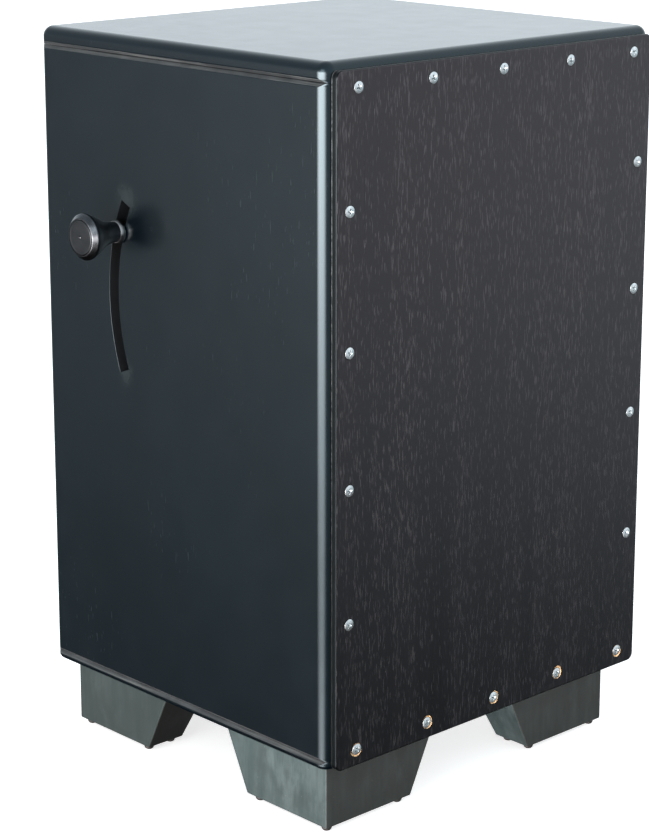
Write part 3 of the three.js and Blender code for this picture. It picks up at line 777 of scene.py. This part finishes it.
def tapa_plate(rng):
    """The striking plate, its front edge a little rounded, with the screw holes cut in."""
    rings = []
    depth = tapa_high.y - tapa_low.y
    for inset, rise in [(0.0, -(depth - TAPA_EDGE_RADIUS))] + quarter_round(TAPA_EDGE_RADIUS):
        plan = rounded_outline(
            tapa_low.x + inset, tapa_high.x - inset, tapa_low.z + inset, tapa_high.z - inset,
            max(TAPA_CORNER_RADIUS - inset, SMALLEST_RADIUS))
        rings.append([(x, tapa_front + TAPA_EDGE_RADIUS - rise, z) for x, z in plan])
    piece = add_loft("tapa_plate", rings, veneered, hole_rim, bare_wood_up, ply_edge)
    cut_away(piece, hole_cutters(rng))
    for face in piece.data.polygons:
        behind = face.center.y - tapa_front
        if abs(face.center.y - tapa_high.y) < ON_PLANE:
            face.material_index = 2
        elif behind > ON_PLANE and any(
                (face.center - place).xz.length < 5 * MM for place in SCREW_PLACES.values()):
            face.material_index = 1
        elif behind > 0.2 * TAPA_EDGE_RADIUS:
            face.material_index = 3
    even_shading(piece)
    settle(piece, "cabinet", "black_veneer", "tapa")


def screw_mesh():
    """A countersunk screw about +Z, its rim at z = 0, with a slightly raised head and a cross recess."""
    rim, lip, dome_rise = 3.62 * MM, 0.14 * MM, 0.46 * MM
    shares = [1 - i / 8 for i in range(9)]
    dome = [(rim * share, lip + dome_rise * (1 - share ** 2)) for share in shares]
    shank = in_mm([
        (0, -20), (0.3, -19.4), (1.5, -16.5), (1.5, -3.0), (1.7, -2.4), (3.7, -0.12), (3.72, 0.04)])
    piece = lathe_mesh("screw", shank + dome, 64, zinc)

    def cross(half_length, half_width, z):
        """The outline of a cross at one level, in millimetres."""
        plan = []
        for quarter in range(4):
            turn = Matrix.Rotation(quarter * math.pi / 2, 2)
            for x, y in ((half_width, half_width), (half_length, half_width), (half_length, -half_width)):
                plan.append(turn @ Vector((x * MM, y * MM)))
        order = sorted(plan, key=lambda p: math.atan2(p.y, p.x))
        return [(p.x, p.y, z * MM) for p in order]

    recess = add_loft("recess", [cross(0.75, 0.3, -1.5), cross(2.1, 0.52, 0.35), cross(2.3, 0.56, 1.0)])
    cut_away(piece, [recess])
    ease(piece, 0.09 * MM, angle=45)
    bake(piece)
    mesh = piece.data
    bpy.data.objects.remove(piece)
    return mesh


def screws(rng):
    """The tapa's screws, each a little tilted and turned its own way."""
    mesh, most = screw_mesh(), 0.05
    for node, place in SCREW_PLACES.items():
        piece = link(bpy.data.objects.new(node.replace("tapa_screw", "screw"), mesh))
        tilt_x, tilt_y = [Matrix.Rotation(rng.uniform(-most, most), 4, axis) for axis in "XY"]
        spin = Matrix.Rotation(rng.uniform(0, math.pi / 2), 4, "Z")
        piece.matrix_world = axes(*OUT_FRONT, place) @ (tilt_x @ tilt_y) @ spin
        settle(piece, "cabinet", "zinc", node)


# The feet.

FOOT_BOTTOM_WIDTH, FOOT_TOP_WIDTH, FOOT_END_WIDTH = 77 * MM, 99 * MM, 30 * MM
STUDS_PER_FOOT = 4
STUD_PROFILE = in_mm([
    (0, 0), (1.7, 0), (2.1, 0.12), (2.6, 0.45), (3.05, 1.0), (3.35, 1.7), (3.5, 2.5), (3.5, 3.55),
    (3.4, 3.68), (1.2, 3.7), (1.2, 12.6), (0.2, 13), (0, 13)])


def foot_block(corner):
    """A square block that widens upwards, with its inner corner cut off at 45 degrees."""
    low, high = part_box(f"foot_{corner}")
    in_x = 1 if "left" in corner else -1
    in_y = 1 if "front" in corner else -1
    outer_x = low.x if in_x > 0 else high.x
    outer_y = low.y if in_y > 0 else high.y
    rings = []
    for z, width in ((low.z, FOOT_BOTTOM_WIDTH), (high.z, FOOT_TOP_WIDTH)):
        end = FOOT_END_WIDTH + (width - FOOT_BOTTOM_WIDTH) * (math.sqrt(2) - 1)
        plan = [(0, 0), (width, 0), (width, end), (end, width), (0, width)]
        if in_x != in_y:
            plan.reverse()
        rings.append([(outer_x + in_x * x, outer_y + in_y * y, z) for x, y in plan])
    piece = add_loft(f"foot_block_{corner}", rings, stained)
    ease(piece, 0.9 * MM, angle=20, segments=3)
    settle(piece, "cabinet", "stained_wood", f"foot_{corner}")


def feet():
    """The four feet, each followed by the studs under it."""
    for corner in ("front_left", "front_right", "rear_left", "rear_right"):
        foot_block(corner)
        for i in range(1, STUDS_PER_FOOT + 1):
            node = f"foot_{corner}_stud_{i}"
            low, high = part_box(node)
            place = Vector(((low.x + high.x) / 2, (low.y + high.y) / 2, low.z))
            stud = lathe_mesh(node.replace("foot", "glide"), STUD_PROFILE, 40, stud_black)
            stud.matrix_world = Matrix.Translation(place)
            settle(stud, "cabinet", "stud_plastic", node)


# The knob, drawn in millimetres outwards from the side panel along its own +Z.

COLLAR_PROFILE = (
    (3.3, 0.6), (7.3, 0.6), (7.75, 0.75), (7.95, 1.1), (8.0, 1.5), (7.98, 2.0), (7.85, 2.6), (7.6, 3.4),
    (7.4, 3.95), (7.25, 4.15), (7.1, 4.2), (3.3, 4.2))
KNOB_PROFILE = (
    (0, 23.5), (3.3, 23.5), (3.3, 4.5), (6.7, 4.5), (6.92, 4.7), (7.02, 7.0), (7.2, 9.5), (7.6, 11.5),
    (8.3, 13.6), (9.3, 15.7), (10.4, 17.8), (11.5, 19.8), (12.55, 21.6), (13.5, 23.4), (14.35, 25.2),
    (14.85, 26.6), (14.9, 26.95), (14.7, 27.0), (11.7, 27.0), (11.7, 31.9), (11.6, 32.2), (11.35, 32.4),
    (11.0, 32.5), (10.2, 32.5), (10.0, 32.42), (9.8, 32.42), (9.6, 32.5), (1.3, 32.5), (1.05, 32.42),
    (0.75, 32.0), (0.35, 31.75), (0, 31.7))
RIM_PROFILE = (
    (12.0, 27.3), (14.9, 27.3), (15.25, 27.4), (15.45, 27.65), (15.5, 28.1), (15.5, 28.75), (15.4, 29.1),
    (15.2, 29.4), (12.85, 31.85), (12.6, 32.05), (12.3, 32.1), (12.05, 32.1), (12.0, 32.0))
PIN_PROFILE = ((0, 31.75), (0.28, 31.78), (0.42, 31.95), (0.42, 32.2), (0.3, 32.32), (0, 32.36))


def knob():
    """The collar, the body and its rim, and the pin in the middle of the face."""
    for name, profile, segments, look, slot, *nodes in (
            ("collar", COLLAR_PROFILE, 96, silver, "knob_silver", "knob_collar"),
            ("knob_turned_body", KNOB_PROFILE, 128, knob_black, "knob_black", "knob_body"),
            ("rim", RIM_PROFILE, 128, gunmetal, "knob_silver", "knob_rim"),
            ("knob_centre_pin", PIN_PROFILE, 24, silver, "knob_silver")):
        piece = lathe_mesh(name, in_mm(profile), segments, look)
        piece.matrix_world = axes(*OUT_LEFT, Vector((outer_left, bolt.y, bolt.z)))
        if nodes:
            even_shading(piece)
        settle(piece, "knob", slot, *nodes)


# The snare, drawn about its pivot with its strands upright along +Z, then leant back at rest.

SIDES = ((-1, "left"), (1, "right"))
SNARE_LEAN = 26.5
BAR_HALF_WIDTH, BAR_HALF_LENGTH = 10 * MM, 108 * MM
JOURNAL_RADIUS = 5 * MM
SET_OFFSET, PLATE_HALF_WIDTH, PLATE_THICKNESS = 56 * MM, 33 * MM, 1.2 * MM
STRANDS, STRAND_SPREAD, STRAND_FAN, STRAND_LENGTH = 10, 60 * MM, 7, 83 * MM


def snare():
    """The bar with its journals, and two sets of strands on their end plates."""
    low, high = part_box("snare_bar")
    lean = Matrix.Translation(pivot) @ Matrix.Rotation(math.radians(SNARE_LEAN), 4, "X")
    centre = Matrix.Translation(Vector(((low.x + high.x) / 2 - pivot.x, 0, 0)))

    half = BAR_HALF_WIDTH
    rings = [[(x, -half, -half), (x, half, -half), (x, half, half), (x, -half, half)]
             for x in (-BAR_HALF_LENGTH, BAR_HALF_LENGTH)]
    bar = add_loft("snare_beam", rings, bare_wood_across)
    ease(bar, 1.0 * MM, angle=30, segments=3)
    bake(bar)
    bar.matrix_world = lean @ centre
    settle(bar, "lever", "raw_wood", "snare_bar")
    start, end = BAR_HALF_LENGTH - 2 * MM, (high.x - low.x) / 2
    profile = [(0, start), (JOURNAL_RADIUS, start), (JOURNAL_RADIUS, end - 0.6 * MM),
               (JOURNAL_RADIUS - 0.6 * MM, end), (0, end)]
    for side, name in SIDES:
        journal = lathe_mesh(f"snare_journal_{name}", profile, 48, bare_wood_across)
        journal.matrix_world = lean @ centre @ axes((0, 1, 0), (0, 0, side), (side, 0, 0), Vector())
        settle(journal, "lever", "raw_wood")

    face = -half - 0.3 * MM
    for side, name in SIDES:
        middle = side * SET_OFFSET
        points, faces = [], []
        for i in range(STRANDS):
            share = i / (STRANDS - 1) - 0.5
            root = Vector((middle + share * STRAND_SPREAD, face - PLATE_THICKNESS / 2, 10.5 * MM))
            add_coil(points, faces, root, math.radians(share * STRAND_FAN))
        wires = add_mesh(f"snare_wires_{name}", points, faces, wire_steel, sharp_angle=80)
        wires.matrix_world = lean @ centre
        settle(wires, "lever", "snare_wire", f"snare_set_{name}")
        x0, x1, z0, z1 = middle - PLATE_HALF_WIDTH, middle + PLATE_HALF_WIDTH, -3.5 * MM, 12.5 * MM
        rings = [[(x0, y, z0), (x1, y, z0), (x1, y, z1), (x0, y, z1)]
                 for y in (face, face - PLATE_THICKNESS)]
        plate = add_loft(f"snare_end_plate_{name}", rings, plain_steel)
        ease(plate, 0.3 * MM, angle=30)
        bake(plate)
        plate.matrix_world = lean @ centre
        settle(plate, "lever", "snare_wire")


def add_coil(points, faces, root, slant):
    """Adds a strand: a coiled wire that rises from root and leans sideways by slant."""
    wire, coil, pitch, around, sides = 0.26 * MM, 0.62 * MM, 1.25 * MM, 9, 5
    direction = Vector((math.sin(slant), 0, math.cos(slant)))
    across = Vector((math.cos(slant), 0, -math.sin(slant)))
    deep = Vector((0, 1, 0))
    count = int(STRAND_LENGTH / pitch * around)
    base = len(points)
    for k in range(count + 1):
        turn = 2 * math.pi * k / around
        outward = across * math.cos(turn) + deep * math.sin(turn)
        centre = root + direction * (STRAND_LENGTH * k / count) + outward * coil
        for s in range(sides):
            angle = 2 * math.pi * s / sides
            points.append(centre + outward * (wire * math.cos(angle)) + direction * (wire * math.sin(angle)))
    faces += [tuple(base + i for i in face) for face in loft_faces(sides, count + 1)]


# CAD nodes whose shapes are right and only need their finish.

def finish_cad_nodes():
    """Gives the plain inner pieces their materials and softens their edges."""
    finishes = {
        bare_wood_up: ("batten_left", "batten_right", "snare_block_left", "snare_block_right"),
        bare_wood_across: ("batten_top", "batten_bottom", "snare_clamp"),
        plain_steel: ("lever_arm", "lever_bolt"),
        stud_black: ("lever_spacer",),
    }
    for look, names in finishes.items():
        for name in names:
            node = frame["nodes"][name]
            node.data.materials.clear()
            node.data.materials.append(look)
            weld = node.modifiers.new("weld", "WELD")
            weld.merge_threshold = 0.01 * MM
            ease(node, 0.3 * MM, angle=40)


# The studio.

def floor():
    """A pale floor that glows a little, so that it is as bright as the backdrop."""
    row = FLOOR_CELLS + 1
    places = [(i / FLOOR_CELLS - 0.5) * 2 * FLOOR_HALF_WIDTH for i in range(row)]
    points = [(x, y, 0.0) for y in places for x in places]
    corners = [j * row + i for j in range(FLOOR_CELLS) for i in range(FLOOR_CELLS)]
    faces = [(a, a + 1, a + row + 1, a + row) for a in corners]
    look = Look("studio_floor")
    tone = look.mix(look.noise(look.place(), 1.2, 2.0), (0.78, 0.78, 0.78), (0.80, 0.80, 0.80))
    look.finish(Base_Color=tone, Roughness=0.8, Emission_Color=(1.0, 1.0, 1.0), Emission_Strength=0.72)
    plane = add_mesh("floor", points, faces, look.material)
    # The world below the horizon stands in for the floor's own light on the drum.
    plane.visible_glossy = False
    plane.visible_diffuse = False
    plane.visible_shadow = False


def key_light():
    """A soft square light that faces the drum from the left of the viewer."""
    light = bpy.data.lights.new("key", "AREA")
    light.shape = "RECTANGLE"
    light.size = light.size_y = KEY_SIZE
    light.energy = KEY_RADIANCE * math.pi * KEY_SIZE * KEY_SIZE
    light.color = KEY_COLOUR
    holder = link(bpy.data.objects.new("key", light))
    angle = math.radians(KEY_AZIMUTH)
    holder.location = (middle_x + KEY_DISTANCE * math.cos(angle), KEY_DISTANCE * math.sin(angle), KEY_HEIGHT)
    aim = Vector((middle_x, 0, KEY_AIM_HEIGHT)) - holder.location
    holder.rotation_euler = aim.to_track_quat("-Z", "Y").to_euler()
    holder.visible_camera = False


def world():
    """The light all round, by direction: dim straight below, pale at the horizon and above, a wide
    bright window low on the left of the viewer, and a paler patch behind the drum."""
    surroundings = bpy.data.worlds.new("studio")
    surroundings.use_nodes = True
    sky = Nodes(surroundings.node_tree)
    direction = sky.node("ShaderNodeTexCoord").outputs["Generated"]
    height = sky.parts(direction)["Z"]

    def towards(azimuth, elevation=0.0):
        """How near the direction is to the given one, in degrees: -1 to 1."""
        turn, rise = math.radians(azimuth), math.radians(elevation)
        aim = (math.cos(turn) * math.cos(rise), math.sin(turn) * math.cos(rise), math.sin(rise))
        return sky.vector("DOT_PRODUCT", direction, aim, output="Value")

    def by_height(levels):
        """A smooth curve through (height, level) points."""
        first, last = levels[0][0], levels[-1][0]
        share = sky.node("ShaderNodeMapRange", {"Value": height, "From Min": first, "From Max": last})
        curve = sky.node("ShaderNodeFloatCurve", {"Value": share.outputs["Result"]})
        points = curve.mapping.curves[0].points
        for position, level in levels[1:-1]:
            points.new((position - first) / (last - first), level)
        points[0].location = (0.0, levels[0][1])
        points[len(points) - 1].location = (1.0, levels[-1][1])
        curve.mapping.update()
        return curve.outputs["Value"]

    def window(azimuth, reach, levels, brightness):
        """A bright patch that fades sideways within its reach, and by height as the levels say."""
        full, edge = (math.cos(math.radians(angle)) for angle in reach)
        return sky.times(sky.spread(towards(azimuth), edge, full, 0.0, brightness), by_height(levels))

    side = sky.node("ShaderNodeMapRange", {"Value": towards(BRIGHT_AZIMUTH), "From Min": -1.0,
                                           "From Max": 1.0, "To Min": FAR_SHARE, "To Max": BRIGHT_SHARE})
    total = sky.times(by_height(GROUND_BY_HEIGHT), side.outputs["Result"])
    total = sky.plus(total, sky.spread(height, -0.05, 0.1, 0.0, SKY_RISE))
    behind = towards(BEHIND_AZIMUTH, BEHIND_ELEVATION)
    total = sky.plus(total, sky.spread(behind, 0.55, 0.97, 0.0, BEHIND_LEVEL))
    glow = sky.plus(window(WINDOW_AZIMUTH, WINDOW_REACH, WINDOW_BY_HEIGHT, WINDOW_LEVEL),
                    window(SHOULDER_AZIMUTH, SHOULDER_REACH, SHOULDER_BY_HEIGHT, SHOULDER_LEVEL))
    # The ground is greener close by than far away.
    change = tuple(far - near for far, near in zip(GROUND_COLOUR, LOW_GROUND_COLOUR))
    tone = sky.vector("SCALE", change, sky.spread(height, -0.38, -0.22))
    tone = sky.vector("ADD", tone, LOW_GROUND_COLOUR)
    light = sky.vector("ADD", sky.vector("SCALE", tone, total), sky.vector("SCALE", WINDOW_COLOUR, glow))
    connect(surroundings.node_tree.nodes["Background"], "Color", light)
    bpy.context.scene.world = surroundings


def camera():
    """The camera that the photograph was taken with."""
    yaw, pitch = math.radians(CAMERA_YAW), math.radians(CAMERA_PITCH)
    forward = Vector((math.sin(yaw) * math.cos(pitch), math.cos(yaw) * math.cos(pitch), -math.sin(pitch)))
    data = bpy.data.cameras.new("camera")
    data.lens = LENS
    data.sensor_width = SENSOR_WIDTH
    data.shift_y = LENS_SHIFT
    data.clip_start, data.clip_end = 0.05, 60.0
    eye = link(bpy.data.objects.new("camera", data))
    eye.location = Vector((outer_left, tapa_front, box_bottom)) + EYE_FROM_CORNER
    eye.rotation_mode = "QUATERNION"
    eye.rotation_quaternion = forward.to_track_quat("-Z", "Y")
    bpy.context.scene.camera = eye


# The materials that the pieces above take, and the scene.
worn_spots = [(Vector((outer_left, *slot_point(math.radians(angle)))), size) for angle, size in WORN_SPOTS]
lacquered = lacquer("black_lacquer")
lacquered_side = lacquer("black_lacquer_worn", worn_spots)
veneered = veneer()
ply_edge = painted_plies()
groove_coat_painted_light = thin_paint_painted_light("groove_paint_painted_light", 0.8)
slot_paint_painted_light = thin_paint_painted_light("slot_paint_painted_light", 0.18)
hole_rim = chipped_ply()
bare_wood_up = raw_wood("raw_wood_upright", "Z")
bare_wood_across = raw_wood("raw_wood_across", "X")
stained = stained_wood()
zinc = metal("zinc_plate", (0.72, 0.75, 0.77), (0.42, 0.49, 0.51), 0.4, 0.55, 1500.0)
plain_steel = metal("plain_steel", (0.48, 0.48, 0.48), (0.33, 0.33, 0.34), 0.3, 0.48, 700.0)
wire_steel = metal("wire_steel", (0.62, 0.62, 0.63), (0.45, 0.45, 0.46), 0.25, 0.4, 900.0)
silver = turned_metal("turned_silver", (0.36, 0.37, 0.38), (0.2, 0.21, 0.22))
gunmetal = turned_metal("turned_gunmetal", (0.075, 0.085, 0.095), (0.042, 0.048, 0.054))
knob_black = turned_black()
stud_black = dark_plastic()

rng = random.Random(SEED)
camera()
top_and_bottom_boards()
side_boards()
back_board()
tapa_plate(rng)
screws(rng)
feet()
knob()
snare()
finish_cad_nodes()
floor()
world()
key_light()
bpy.context.scene.view_settings.view_transform = "Standard"
